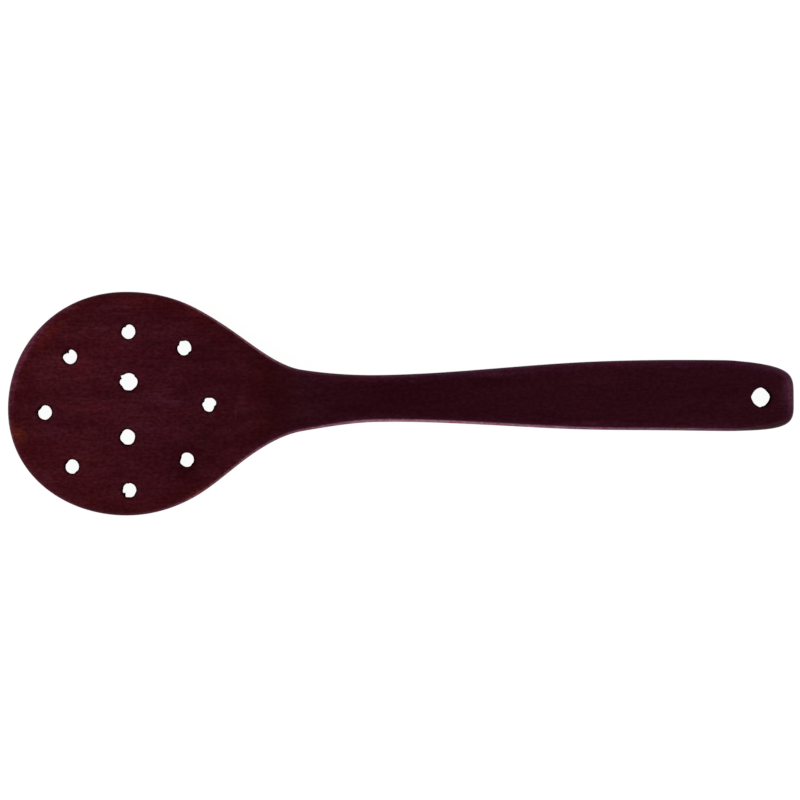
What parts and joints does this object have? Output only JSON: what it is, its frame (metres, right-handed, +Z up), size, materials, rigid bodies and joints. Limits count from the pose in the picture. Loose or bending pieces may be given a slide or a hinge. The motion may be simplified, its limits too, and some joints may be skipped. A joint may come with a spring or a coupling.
{
  "type": "skimmer",
  "caption": "Carved wooden skimmer with a shallow dished round head drilled for draining, a slim neck and a flat handle with a hanging hole.",
  "frame": {"origin": "on the surface that the skimmer lies on, under the centre of its bounding box, which is under the neck", "axes": "+X along the tool from the head towards the handle, +Y across it, +Z up out of the dished face"},
  "size_m": [0.33, 0.094, 0.01],
  "materials": {
    "stained_hardwood": "satin, dark wine-red stain with the grain along the length"
  },
  "bodies": {
    "root": {"skimmer": "stained_hardwood"}
  },
  "joints": []
}
